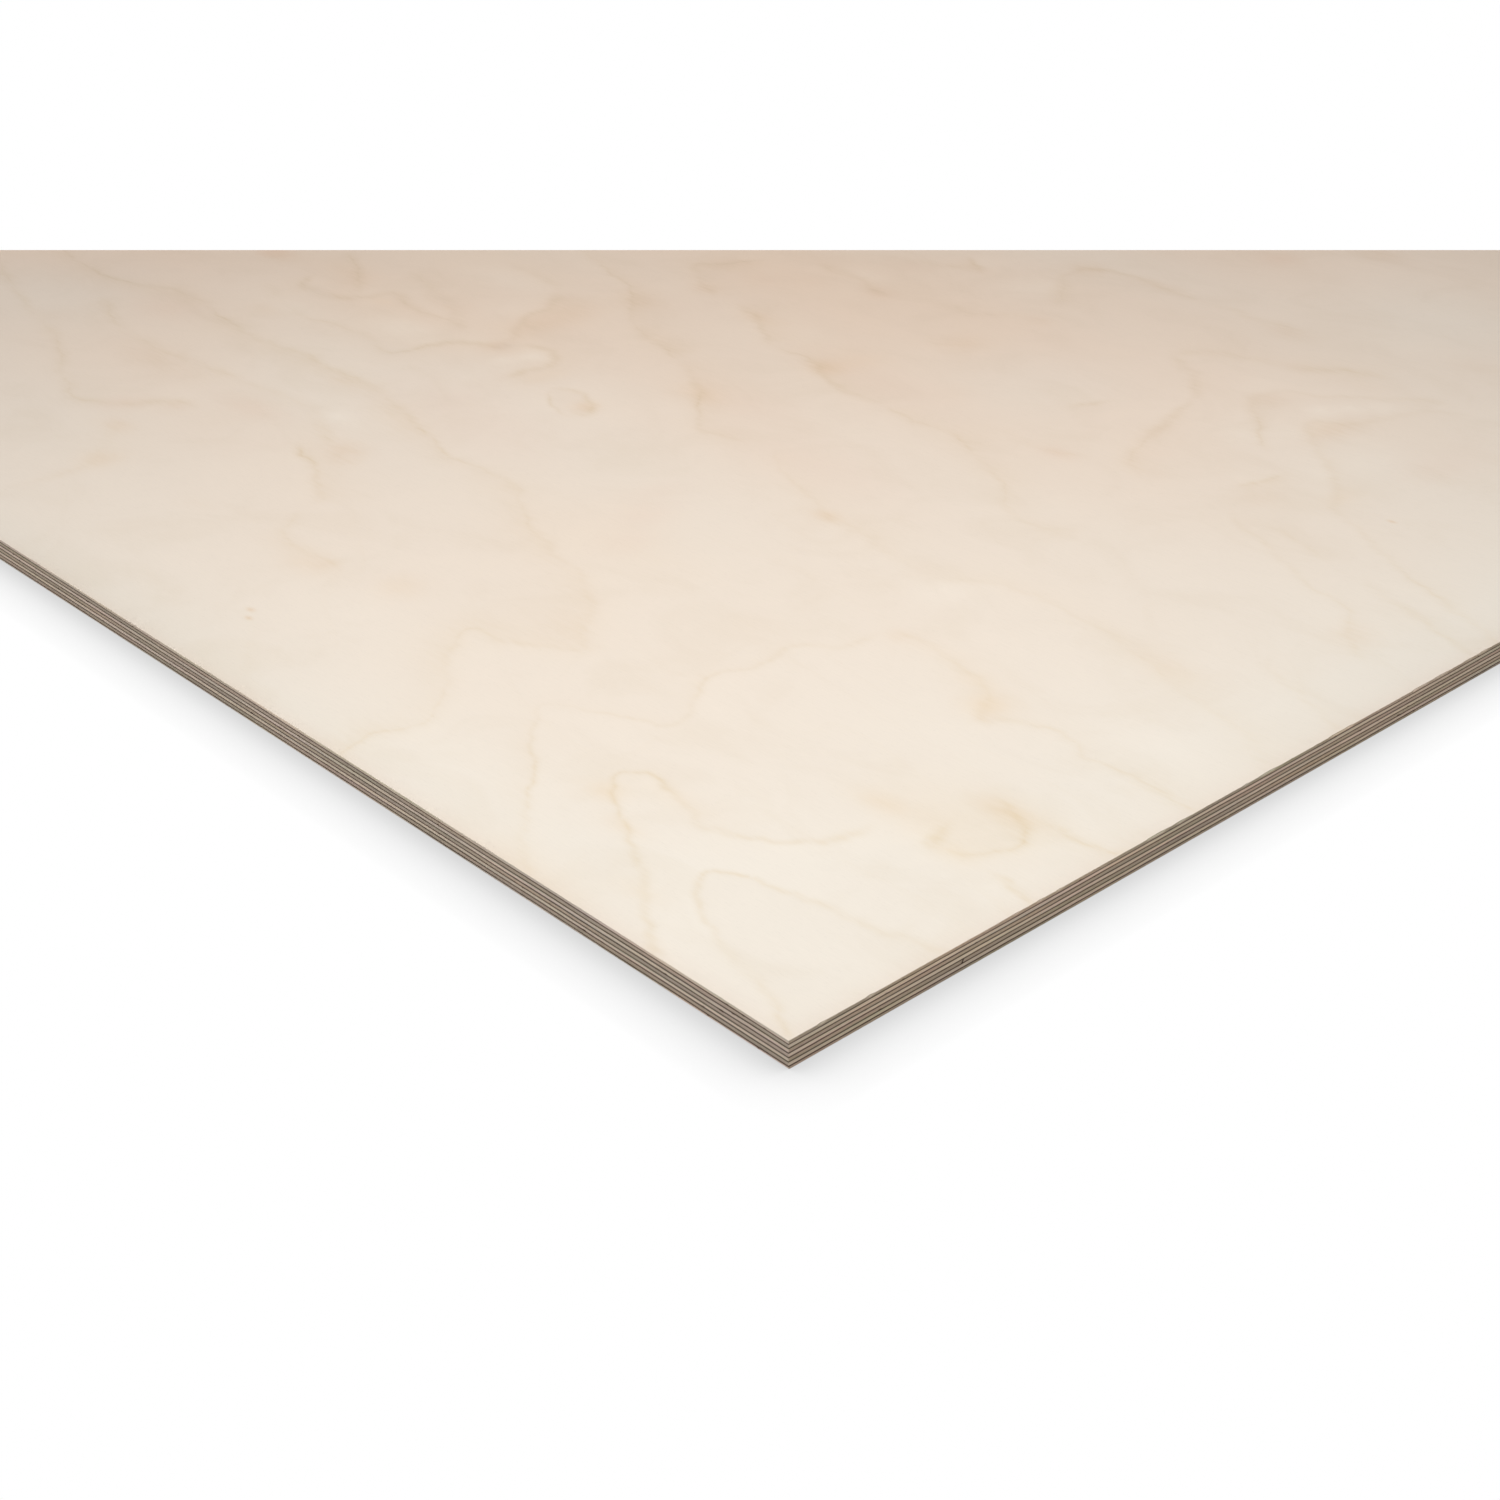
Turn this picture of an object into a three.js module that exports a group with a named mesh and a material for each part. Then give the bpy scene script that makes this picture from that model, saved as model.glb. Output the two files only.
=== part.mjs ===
import * as THREE from "three";

// A full sheet of 9 mm birch plywood: seven rotary-cut veneers, each laid with its grain square
// to the last, and the six films of dark phenolic resin that bond them.
// Millimetres. X runs along the face grain, Y across it and Z up. The sheet lies flat on Z = 0
// with the middle of its underside at the origin.

const SHEET_LENGTH = 2500; // along X
const SHEET_WIDTH = 1250; // along Y
const FACE_THICKNESS = 0.9; // the face and back veneers, sanded thinner after pressing
const CORE_THICKNESS = 1.32; // each of the five veneers between them
const GLUE_THICKNESS = 0.1; // one film of resin

// One long-grain core veneer is laid in two widths whose edges don't quite meet.
const STRIP_WIDTH = 66; // the narrow one, from the sheet's -Y edge to the middle of the open joint
const JOINT_OPENING = 0.4; // along Y, the same from the joint's foot to its top
const JOINT_LEAN = 0.6; // how much nearer the sheet's middle the joint lies at its top than at its foot

const LONG_GRAIN = "#ecdfc9";
const CROSS_GRAIN = "#d8c4a6";
const RESIN = "#4a3426";

// The lay-up from the underside to the face. Plies are numbered down from the face.
const LAY_UP = [
  { name: "back_veneer", thickness: FACE_THICKNESS, color: LONG_GRAIN, fill: fullWidth },
  { name: "cross_veneer_6", thickness: CORE_THICKNESS, color: CROSS_GRAIN, fill: fullWidth },
  { name: "long_veneer_5", thickness: CORE_THICKNESS, color: LONG_GRAIN, fill: twoWidths },
  { name: "cross_veneer_4", thickness: CORE_THICKNESS, color: CROSS_GRAIN, fill: fullWidth },
  { name: "long_veneer_3", thickness: CORE_THICKNESS, color: LONG_GRAIN, fill: fullWidth },
  { name: "cross_veneer_2", thickness: CORE_THICKNESS, color: CROSS_GRAIN, fill: fullWidth },
  { name: "face_veneer", thickness: FACE_THICKNESS, color: LONG_GRAIN, fill: fullWidth },
];

// A ply or film in one piece: its name and its cross-section, as points in Y and Z.
function fullWidth(name, bottom, top) {
  const edge = SHEET_WIDTH / 2;
  const section = [
    [-edge, bottom],
    [edge, bottom],
    [edge, top],
    [-edge, top],
  ];
  return [{ name, section }];
}

// A ply in two widths, with the leaning open joint between them.
function twoWidths(name, bottom, top) {
  const edge = SHEET_WIDTH / 2;
  const half = JOINT_OPENING / 2;
  const foot = STRIP_WIDTH - edge - JOINT_LEAN / 2;
  const head = foot + JOINT_LEAN;
  const strip = [
    [-edge, bottom],
    [foot - half, bottom],
    [head - half, top],
    [-edge, top],
  ];
  const rest = [
    [foot + half, bottom],
    [edge, bottom],
    [edge, top],
    [head + half, top],
  ];
  return [
    { name: `${name}_strip`, section: strip },
    { name, section: rest },
  ];
}

// A cross-section in Y and Z, run the whole length of the sheet.
function runLengthwise(section) {
  const outline = new THREE.Shape(section.map(([y, z]) => new THREE.Vector2(y, z)));
  const settings = { depth: SHEET_LENGTH, bevelEnabled: false };
  const alongY = new THREE.Vector3(0, 1, 0);
  const alongZ = new THREE.Vector3(0, 0, 1);
  const alongX = new THREE.Vector3(1, 0, 0);
  return new THREE.ExtrudeGeometry(outline, settings)
    .applyMatrix4(new THREE.Matrix4().makeBasis(alongY, alongZ, alongX))
    .translate(-SHEET_LENGTH / 2, 0, 0);
}

function birch(color) {
  return new THREE.MeshStandardMaterial({ color, roughness: 0.65, metalness: 0 });
}

function phenolicResin() {
  return new THREE.MeshStandardMaterial({ color: RESIN, roughness: 0.35, metalness: 0 });
}

// A ply or film between two heights. Neighbours share the height of the face they meet at.
function addLayer(sheet, pieces, material) {
  for (const { name, section } of pieces) {
    const mesh = new THREE.Mesh(runLengthwise(section), material());
    mesh.name = name;
    sheet.add(mesh);
  }
}

const plywoodSheet = new THREE.Group();
plywoodSheet.name = "plywood_sheet";

let bottom = 0;
LAY_UP.forEach(({ name, thickness, color, fill }, index) => {
  const top = bottom + thickness;
  addLayer(plywoodSheet, fill(name, bottom, top), () => birch(color));
  bottom = top;
  const pliesAbove = LAY_UP.length - 1 - index;
  if (pliesAbove > 0) {
    const filmTop = bottom + GLUE_THICKNESS;
    addLayer(plywoodSheet, fullWidth(`glue_line_${pliesAbove}`, bottom, filmTop), phenolicResin);
    bottom = filmTop;
  }
});

export default plywoodSheet;
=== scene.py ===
"""A full sheet of 9 mm birch plywood: seven rotary-cut veneers bonded by six films of dark resin.

Everything is in metres in the CAD frame: X runs along the face grain, Y across it and Z up, with
the middle of the underside at the origin.
"""

import bpy
import numpy as np
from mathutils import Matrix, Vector
from mathutils.geometry import delaunay_2d_cdt


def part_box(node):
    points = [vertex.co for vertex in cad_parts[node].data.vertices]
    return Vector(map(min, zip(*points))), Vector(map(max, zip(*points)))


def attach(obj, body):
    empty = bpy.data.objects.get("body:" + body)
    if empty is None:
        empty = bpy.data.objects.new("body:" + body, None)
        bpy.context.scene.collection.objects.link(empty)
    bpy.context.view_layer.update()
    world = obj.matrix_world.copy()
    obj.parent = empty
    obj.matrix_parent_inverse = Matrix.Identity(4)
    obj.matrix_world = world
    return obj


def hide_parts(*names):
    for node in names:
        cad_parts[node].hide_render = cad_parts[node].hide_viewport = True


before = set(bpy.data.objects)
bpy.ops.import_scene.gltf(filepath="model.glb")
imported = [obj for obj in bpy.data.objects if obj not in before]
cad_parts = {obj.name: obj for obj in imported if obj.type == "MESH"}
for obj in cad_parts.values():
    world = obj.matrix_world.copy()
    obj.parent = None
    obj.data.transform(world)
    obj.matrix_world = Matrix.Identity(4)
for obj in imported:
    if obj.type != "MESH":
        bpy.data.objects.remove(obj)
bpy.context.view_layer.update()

# ---- Camera ----
# It looks down at 30 degrees on the corner between the +X end and the -Y side, from 0.6 m away.
# Nothing past the far plane is drawn, so the sheet leaves the picture in a straight level line.

SENSOR_WIDTH = 36  # mm
LENS = 58.329  # mm
STAND_POINT = (1.61461, -0.97642, 0.38246)
SIGHT_LINE = (-0.6379, 0.5911, -0.4935)
NEAR_PLANE = 0.05
FAR_PLANE = 1.187


def stand(name, data):
    """A new object in the scene, at the origin."""
    made = bpy.data.objects.new(name, data)
    bpy.context.scene.collection.objects.link(made)
    return made


camera = stand("camera", bpy.data.cameras.new("camera"))
camera.location = STAND_POINT
camera.rotation_euler = Vector(SIGHT_LINE).to_track_quat("-Z", "Y").to_euler()
camera.data.sensor_width = SENSOR_WIDTH
camera.data.lens = LENS
camera.data.clip_start = NEAR_PLANE
camera.data.clip_end = FAR_PLANE
bpy.context.scene.camera = camera
bpy.context.scene.view_settings.view_transform = "Standard"

# ---- Face veneer ----
# The top ply, 0.9 mm of birch peeled from a turning log with a long knife and sanded flat after
# pressing. The knife crosses each growth ring at a glancing angle, so the rings show as wandering
# contour lines, each sharp on one side and fading softly on the other.

MM = 0.001
rng = np.random.default_rng(20)
low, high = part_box("face_veneer")
LENGTH = (high[0] - low[0]) / MM
WIDTH = (high[1] - low[1]) / MM
FACE_TOP = high[2] / MM
FACE_BOTTOM = low[2] / MM

# Places on the face are (u, v) in millimetres from the corner under the camera: u along the
# grain and v across it. Each growth line has its strength, its half width in mm, and how strongly
# it fades off to its left (+) or right (-), followed by the places that it passes.
GROWTH_LINES = [
    (0.24, 1.4, 0.15, [(-5, -4), (12, 8), (25, 12), (50, 19), (60, 24), (70, 31), (75, 37), (70, 43),
      (50, 49), (25, 53), (12, 56), (-4, 60)]),
    (0.27, 1.6, -0.1, [(48, -3), (62, 6), (87, 25), (112, 39), (130, 50), (135, 55), (133, 60), (125, 63),
      (105, 59), (97, 54), (88, 57), (73, 64), (67, 72), (61, 82), (60, 95)]),
    (0.26, 2.0, -0.6, [(43, 97), (35, 98), (28, 103), (24, 110), (24, 117), (29, 123), (37, 128),
      (50, 133)]),
    (0.24, 2.0, -0.4, [(-3, 136), (10, 130), (30, 130)]),
    (0.3, 1.6, 0.1, [(-3, 94), (12, 97), (22, 99)]),
    (0.45, 2.2, 0.2, [(40, 94), (42, 99), (45, 107), (46, 112)]),
    (0.06, 2.8, 0.2, [(60, 105), (78, 100)]),
    (0.16, 1.6, -0.5, [(106, -2), (120, 8), (135, 20), (152, 37), (172, 52), (180, 60), (185, 66),
      (182, 70), (172, 76), (150, 86), (147, 92), (150, 100), (163, 117), (162, 125), (158, 135),
      (160, 155), (150, 165), (147, 175), (148, 187)]),
    (0.17, 2.2, -0.55, [(148, 190), (141, 188), (134, 191), (120, 186), (104, 184), (95, 179), (88, 172),
      (83, 164), (76, 169), (68, 173), (60, 176), (50, 172), (44, 168), (35, 171), (12, 169), (-3, 169)]),
    (0.18, 2.2, -0.9, [(202, -3), (206, 15), (202, 33), (215, 50), (235, 66), (245, 82), (238, 85),
      (228, 87), (208, 100), (215, 108), (232, 126), (255, 138), (271, 141), (285, 146), (298, 151),
      (315, 160), (327, 168), (341, 170)]),
    (0.26, 2.3, -0.9, [(320, 165), (327, 168), (341, 170), (354, 171), (367, 168), (380, 171), (393, 175),
      (413, 180), (431, 185), (447, 189), (457, 191), (474, 190), (494, 190), (510, 191), (536, 187),
      (569, 190), (600, 196), (626, 193), (650, 183), (691, 183), (760, 196)]),
    (0.14, 2.3, 0.9, [(-3, 204), (10, 210), (22, 219), (50, 225), (72, 233), (100, 241), (140, 243),
      (158, 233), (178, 229), (212, 237), (228, 238), (245, 246), (265, 252), (280, 261), (292, 268)]),
    (0.3, 2.3, 0.6, [(300, 264), (311, 263), (320, 261), (326, 261), (329, 263), (338, 271), (347, 279),
      (355, 287), (364, 293), (376, 300), (394, 307)]),
    (0.23, 2.2, 1.0, [(390, 306), (405, 311), (417, 314), (438, 321), (446, 327), (454, 333), (463, 341),
      (469, 347), (485, 356), (501, 360), (521, 367), (560, 378)]),
    (0.13, 1.7, 0.64, [(-3, 239), (12, 246), (25, 253), (35, 255), (43, 262), (50, 273)]),
    (0.12, 2.0, 0.4, [(20, 285), (38, 298), (48, 314), (72, 322), (94, 334), (105, 340), (119, 345),
      (130, 355)]),
    (0.09, 1.9, 0.3, [(74, 341), (88, 346), (101, 351), (115, 352)]),
    (0.14, 1.7, 0.2, [(-3, 312), (10, 320), (50, 335), (65, 342)]),
    (0.17, 2.3, 0.48, [(-4, 329), (20, 340), (50, 353), (67, 362), (78, 369), (92, 377), (101, 381),
      (108, 389), (113, 398), (121, 408), (130, 416), (138, 423), (150, 433), (161, 447), (156, 454),
      (149, 458), (145, 466), (142, 479), (137, 490), (129, 499), (119, 503)]),
    (0.18, 2.3, 0.1, [(152, 407), (161, 415), (172, 428), (182, 439), (194, 453), (192, 462), (187, 471),
      (180, 473), (173, 478), (165, 485), (157, 491), (151, 497), (144, 503), (132, 508)]),
    (0.23, 2.6, 0.2, [(172, 353), (182, 360), (191, 371), (195, 384), (199, 397), (203, 409), (207, 424),
      (214, 440), (228, 456), (241, 464), (252, 470)]),
    (0.22, 3.2, -0.4, [(253, 468), (246, 477), (236, 485), (226, 489), (217, 492), (209, 492), (201, 496),
      (191, 504), (185, 508), (175, 513), (162, 513)]),
    (0.4, 2.2, 0.7, [(143, 372), (140, 378), (138, 384), (136, 391), (137, 400)]),
    (0.2, 2.4, 0.8, [(150, 290), (165, 290), (176, 288), (185, 291), (193, 298), (201, 306), (213, 314),
      (226, 319), (236, 325), (249, 331), (260, 332), (275, 331), (295, 333)]),
    (0.32, 2.3, 0.6, [(290, 333), (311, 334), (319, 334), (329, 337), (344, 345), (349, 347), (360, 350),
      (370, 348), (379, 350)]),
    (0.28, 2.4, 0.6, [(374, 348), (380, 350), (387, 355), (399, 363), (410, 369), (418, 372), (430, 376)]),
    (0.27, 2.8, 0.8, [(440, 370), (448, 377), (456, 380), (470, 388), (482, 399), (479, 403), (472, 412),
      (468, 421), (462, 431)]),
    (0.3, 2.6, 0.48, [(455, 264), (461, 272), (470, 279), (475, 287), (480, 295), (481, 304), (485, 312),
      (490, 318), (497, 325)]),
    (0.16, 2.4, 0.6, [(494, 323), (503, 329), (515, 332), (532, 333), (552, 334)]),
    (0.12, 2.4, 0.3, [(605, 232), (590, 229), (575, 223), (547, 219), (528, 223), (505, 224), (490, 219)]),
    (0.34, 2.4, 0.3, [(500, 223), (488, 219), (480, 225), (479, 237), (476, 247), (467, 254), (457, 257),
      (454, 262)]),
    (0.4, 1.8, 0.2, [(403, 245), (398, 247), (393, 250), (387, 250), (381, 248), (375, 244), (371, 240),
      (369, 237), (372, 235), (378, 234)]),
    (0.28, 1.4, -0.24, [(401, 246), (397, 240), (391, 235), (386, 232), (376, 230), (369, 232)]),
    (0.42, 2.2, 0.15, [(424, 238), (425, 246), (425, 254), (423, 260), (425, 265), (430, 270), (440, 272),
      (448, 270), (456, 265)]),
    (0.25, 2.6, -0.1, [(483, 260), (499, 264), (513, 261), (525, 262), (534, 264), (544, 267), (549, 263),
      (552, 254), (557, 247), (568, 242), (580, 242)]),
    (0.48, 3.0, -0.3, [(572, 242), (580, 242), (587, 244), (593, 251), (600, 257)]),
    (0.36, 3.2, -0.4, [(556, 249), (561, 255), (573, 266), (588, 275), (602, 282), (614, 288)]),
    (0.19, 3.4, 0.32, [(483, 261), (506, 272), (520, 277), (532, 281), (549, 287), (560, 290), (572, 290)]),
    (0.32, 2.4, 0.48, [(366, 103), (373, 108), (379, 112), (391, 119), (402, 125), (414, 128), (427, 134)]),
    (0.2, 2.8, -0.5, [(410, 143), (421, 144), (436, 151), (457, 158), (477, 156), (500, 154), (521, 152),
      (545, 149), (563, 148), (595, 151), (638, 166)]),
    (0.12, 2.8, -0.32, [(310, 75), (320, 78), (345, 77), (355, 80), (362, 90), (370, 96)]),
    (0.18, 3.2, 0.6, [(455, 60), (466, 66), (479, 78), (491, 89), (495, 95)]),
    (0.05, 3.0, 0.0, [(455, 10), (462, 27), (460, 40), (460, 53), (465, 64)]),
    (0.18, 3.0, -0.15, [(482, 124), (493, 123), (501, 115), (507, 106), (517, 97), (529, 92), (544, 97),
      (562, 104), (585, 116), (603, 123), (621, 128), (648, 134), (686, 145), (720, 156)]),
    (0.13, 2.8, -0.2, [(225, 534), (245, 534), (255, 532), (266, 535), (285, 533), (303, 535), (323, 539)]),
    (0.22, 2.8, -0.15, [(310, 536), (323, 539), (333, 538), (343, 535), (351, 529), (352, 519), (348, 509),
      (342, 503)]),
    (0.3, 4.4, -0.2, [(350, 512), (340, 502), (331, 489), (320, 475)]),
    (0.36, 2.4, -0.25, [(379, 488), (390, 496), (403, 503)]),
    (0.18, 2.8, -0.2, [(436, 471), (421, 477), (404, 483), (392, 489), (383, 493)]),
    (0.24, 3.2, 0.1, [(388, 429), (397, 434), (412, 440), (450, 443)]),
    (0.12, 3.4, 0.2, [(376, 440), (363, 443), (346, 444), (337, 451), (329, 457), (316, 460), (306, 459)]),
    (0.17, 3.0, -0.8, [(337, 399), (333, 401), (323, 408), (316, 414), (312, 417)]),
    (0.09, 2.6, 0.2, [(255, 352), (247, 349), (238, 350), (229, 347), (219, 347), (211, 349), (202, 352),
      (195, 352)]),
    (0.32, 2.0, 0.05, [(239, 387), (238, 392), (236, 399), (233, 405), (231, 409)]),
    (0.06, 2.2, -0.4, [(261, 4), (274, 13), (285, 22), (296, 30), (308, 37)]),
]

# Pale patches (+) and grey ones (-), and patches browned like the lines: place, reach along and
# across the grain, and how strong the patch is.
PALE_PATCHES = [
    (30, 190, 30, 14, 1.3), (110, 205, 40, 14, 0.6), (85, 75, 22, 11, 0.8), (25, 35, 26, 12, 0.5),
    (175, 25, 28, 14, 1.0), (285, 58, 40, 18, 0.8), (154, 223, 11, 13, 1.6), (440, 170, 34, 10, 1.0),
    (300, 300, 40, 12, 0.5), (441, 251, 5, 6, 2.2), (437, 262, 6, 6, 2.6), (506, 243, 17, 9, 2.6),
    (543, 255, 7, 5, 0.9), (585, 220, 30, 10, 1.0), (530, 285, 16, 8, 0.3), (520, 318, 18, 8, 0.6),
    (166, 462, 6, 6, 2.3), (159, 473, 6, 6, 2.3), (151, 483, 6, 6, 2.0), (200, 465, 9, 16, 0.9),
    (345, 495, 16, 14, 0.9), (190, 555, 18, 13, 0.9), (415, 447, 16, 6, 1.3), (372, 370, 14, 8, 1.0),
    (320, 390, 10, 9, 0.5), (350, 485, 18, 12, 0.5), (345, 264, 14, 6, 0.5), (437, 160, 7, 5, 2.0),
    (425, 160, 8, 4, 0.9), (438, 228, 8, 6, 1.0), (482, 222, 7, 11, -2.0), (573, 243, 15, 4, -2.0),
    (523, 279, 13, 5, -2.0), (456, 261, 5, 5, -4.0), (412, 474, 11, 6, -1.6), (420, 203, 10, 11, -1.2),
    (498, 222, 14, 5, -1.0), (570, 190, 22, 5, -1.2), (652, 185, 16, 7, -1.4), (174, 418, 11, 6, 1.2),
    (161, 431, 8, 8, 1.1), (121, 427, 10, 10, 1.1), (126, 405, 8, 6, 0.8), (492, 294, 12, 12, 0.9),
    (562, 221, 14, 8, 0.8), (466, 392, 8, 8, -1.4), (343, 377, 8, 7, -0.8), (330, 485, 9, 9, -0.8),
    (476, 408, 7, 8, -1.0), (350, 0, 115, 22, -3.2), (350, 0, 70, 12, -1.3), (0, 290, 22, 110, -1.6),
    (0, 290, 12, 75, -1.9), (200, 440, 70, 40, 1.2), (240, 620, 70, 50, 1.6), (660, 190, 75, 85, -4.0),
    (520, 75, 60, 35, -0.7), (605, 280, 40, 25, -2.0), (200, 400, 90, 60, 0.4), (405, 214, 55, 24, 0.8),
    (535, 315, 22, 12, 0.8),
]
BROWN_PATCHES = [
    (87, 173, 9, 6, 0.4), (83, 165, 3, 4, 0.7), (133, 187, 13, 5, 0.4), (141, 186, 5, 5, 0.7),
    (64, 104, 12, 5, 0.3), (38, 127, 12, 5, 1.6), (50, 103, 4, 7, 0.4), (110, 37, 8, 3, 0.5),
    (66, 238, 14, 6, 0.5), (37, 300, 8, 9, 1.0), (229, 238, 6, 4, 1.6), (325, 72, 11, 7, 0.7),
    (321, 77, 4, 4, 0.9), (345, 75, 13, 5, 0.5), (288, 86, 10, 7, 0.6), (228, 105, 20, 12, 0.5),
    (396, 135, 7, 5, 0.9), (405, 142, 9, 7, 2.1), (460, 50, 5, 14, 0.4), (463, 66, 7, 6, 0.5),
    (491, 90, 8, 5, 1.0), (492, 118, 6, 5, 1.1), (506, 108, 7, 9, 0.8), (425, 245, 5, 13, 0.7),
    (458, 259, 6, 6, 2.2), (466, 292, 10, 17, 1.1), (474, 316, 12, 11, 1.1), (375, 241, 5, 5, 1.0),
    (560, 246, 13, 4, 0.7), (585, 270, 15, 6, 0.7), (633, 259, 10, 5, 1.6), (352, 283, 20, 6, 0.7),
    (470, 345, 34, 7, 0.4), (185, 368, 8, 15, 0.6), (198, 392, 4, 14, 0.6), (172, 358, 9, 7, 0.5),
    (210, 348, 8, 4, 0.8), (128, 371, 8, 8, 0.9), (149, 447, 7, 17, 1.4), (98, 440, 7, 13, 0.5),
    (188, 457, 8, 9, 1.0), (202, 497, 9, 5, 0.6), (175, 501, 18, 9, 0.7), (232, 529, 10, 7, 1.0),
    (350, 531, 9, 8, 1.6), (312, 537, 16, 5, 0.8), (388, 492, 11, 6, 0.6), (412, 473, 12, 7, 0.8),
    (394, 433, 9, 6, 1.5), (341, 345, 9, 6, 1.4), (453, 377, 7, 6, 1.5), (283, 365, 9, 10, 0.5),
    (297, 611, 10, 9, 0.9), (267, 652, 11, 9, 1.6), (152, 553, 10, 7, 0.6), (180, 155, 14, 12, 0.4),
    (283, 190, 16, 14, 0.3), (545, 140, 30, 8, 0.9), (470, 140, 18, 7, 0.4), (600, 180, 18, 13, 0.5),
    (470, 185, 7, 4, 0.7), (320, 412, 11, 12, 0.5), (303, 32, 1.6, 1.0, 4.0), (308, 36, 1.8, 1.1, 4.0),
    (82, 389, 1.6, 1.0, 4.0), (574, 262, 8, 8, 1.0), (374, 241, 5, 5, 0.8), (317, 460, 8, 7, 0.7),
    (409, 370, 6, 6, 0.8), (347, 350, 6, 6, 0.6), (460, 342, 9, 9, 0.7), (488, 322, 8, 8, 0.7),
    (445, 405, 10, 8, 0.6), (429, 422, 9, 9, 0.5), (399, 70, 8, 5, 0.4), (467, 125, 12, 16, 0.3),
    (625, 138, 10, 7, 0.5),
]

# Stained patches: place, reach along and across the grain, and how amber (+) or how pink (-) the
# wood is there.
STAINS = [
    (50, 117, 30, 20, 0.3), (36, 127, 13, 6, 0.5), (68, 103, 10, 5, 0.6), (33, 98, 8, 4, 0.5),
    (129, 47, 7, 5, 1.0), (110, 38, 9, 4, 0.4), (80, 18, 9, 4, 0.4), (110, 60, 18, 5, 0.3),
    (88, 172, 8, 8, 0.9), (101, 181, 8, 5, 0.5), (60, 233, 12, 6, 0.3), (229, 238, 6, 4, 0.4),
    (288, 84, 9, 8, 0.4), (325, 72, 14, 8, 0.3), (355, 287, 11, 6, 0.5), (377, 243, 6, 6, 0.6),
    (415, 250, 6, 11, 0.5), (462, 66, 9, 9, 0.5), (488, 88, 9, 5, 0.3), (440, 263, 25, 14, 0.3),
    (470, 300, 16, 35, 0.4), (340, 347, 9, 8, 0.6), (336, 362, 10, 12, 0.4), (406, 368, 11, 5, 0.4),
    (365, 365, 35, 14, 0.2), (320, 412, 12, 13, 0.3), (541, 256, 7, 4, 0.5), (570, 210, 11, 7, 0.3),
    (155, 446, 7, 9, 0.4), (108, 394, 5, 9, 0.4), (635, 262, 18, 8, 0.4), (590, 270, 25, 12, 0.3),
    (262, 170, 9, 12, -0.4), (275, 189, 9, 12, -0.5), (289, 207, 9, 12, -0.4), (265, 270, 45, 18, -0.4),
    (335, 295, 40, 14, -0.4), (310, 350, 45, 16, -0.4), (240, 430, 60, 40, -0.3), (210, 348, 8, 6, -0.4),
    (512, 102, 8, 8, -0.5), (470, 140, 20, 8, -0.5), (600, 180, 19, 14, -0.4), (636, 260, 9, 6, -1.0),
    (297, 611, 9, 9, -0.5), (560, 330, 60, 40, 0.3), (420, 440, 80, 50, 0.3), (45, 108, 22, 12, 0.35),
    (110, 0, 30, 10, 0.5), (520, 240, 60, 30, 0.3), (260, 165, 50, 20, 0.25), (405, 195, 55, 30, -0.7),
    (100, 450, 14, 22, -0.4), (350, 0, 115, 22, 0.2),
]

# Broad tongues of sapwood (+), cooler than the heartwood, and of warmer heartwood (-): place, reach
# along and across the grain, and the share of the warmth and painted light falloff that they take away.
SAPWOOD = [
    (650, 150, 70, 50, 0.45), (520, 75, 60, 35, 0.25), (350, 0, 80, 25, 0.25), (190, 590, 60, 50, 0.45),
    (110, 420, 60, 40, 0.3), (260, 400, 40, 45, 0.3), (490, 260, 70, 35, -0.2), (290, 180, 30, 30, -0.15),
]

# The set figure fills the corner within three straight lines, a * u + b * v = edge. It goes on in
# full for a margin past them, and fades out over its last reach.
SET_CORNER = [(0.733, 0.680, 647.0), (0.468, -0.884, 196.4), (-0.848, 0.530, 175.0)]
SET_MARGIN = 5
SET_REACH = 40.0


def smooth_step(x, start, end):
    t = np.clip((x - start) / (end - start), 0, 1)
    return t * t * (3 - 2 * t)


def drawn_share(place):
    """1 where the set growth lines show in full, and 0 where the chance ones take over."""
    share = np.ones(len(place))
    for a, b, edge in SET_CORNER:
        share *= 1 - smooth_step(place @ (a, b), edge + SET_MARGIN, edge + SET_MARGIN + SET_REACH)
    return share


def run_through(places, step=2.0):
    """A smooth, evenly stepped line through given places, wavering a little as fibres do."""
    knots = np.array([places[0], *places, places[-1]], float)
    t = np.linspace(0, 1, 24, endpoint=False)[:, None]
    line = [
        0.5 * (2 * b + (c - a) * t + (2 * a - 5 * b + 4 * c - d) * t**2 + (3 * b - a - 3 * c + d) * t**3)
        for a, b, c, d in zip(knots, knots[1:], knots[2:], knots[3:])
    ]
    line = np.vstack([*line, knots[-1:]])
    run = np.concatenate([[0], np.cumsum(np.linalg.norm(np.diff(line, axis=0), axis=1))])
    at = np.arange(0, run[-1], step)
    line = np.stack([np.interp(at, run, line[:, 0]), np.interp(at, run, line[:, 1])], 1)
    along = np.gradient(line, axis=0)
    along /= np.linalg.norm(along, axis=1)[:, None] + 1e-9
    left = np.stack([-along[:, 1], along[:, 0]], 1)
    waver = sum(
        size * np.sin(2 * np.pi * (at / wave + rng.random()))
        for wave, size in ((7.0, 0.25), (13.0, 0.40), (29.0, 0.55))
    )
    return at, line + left * waver[:, None], left


def fade_at_ends(at, line):
    """Growth lines thin out at their ends, unless they run over the sheet's edge."""
    ease = min(END_FADE, 0.4 * at[-1])
    whole = np.ones(len(at))
    start = whole if line[0].min() < 2 else smooth_step(at, -2, ease)
    end = whole if line[-1].min() < 2 else smooth_step(at[-1] - at, -2, ease)
    return start * end


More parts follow.
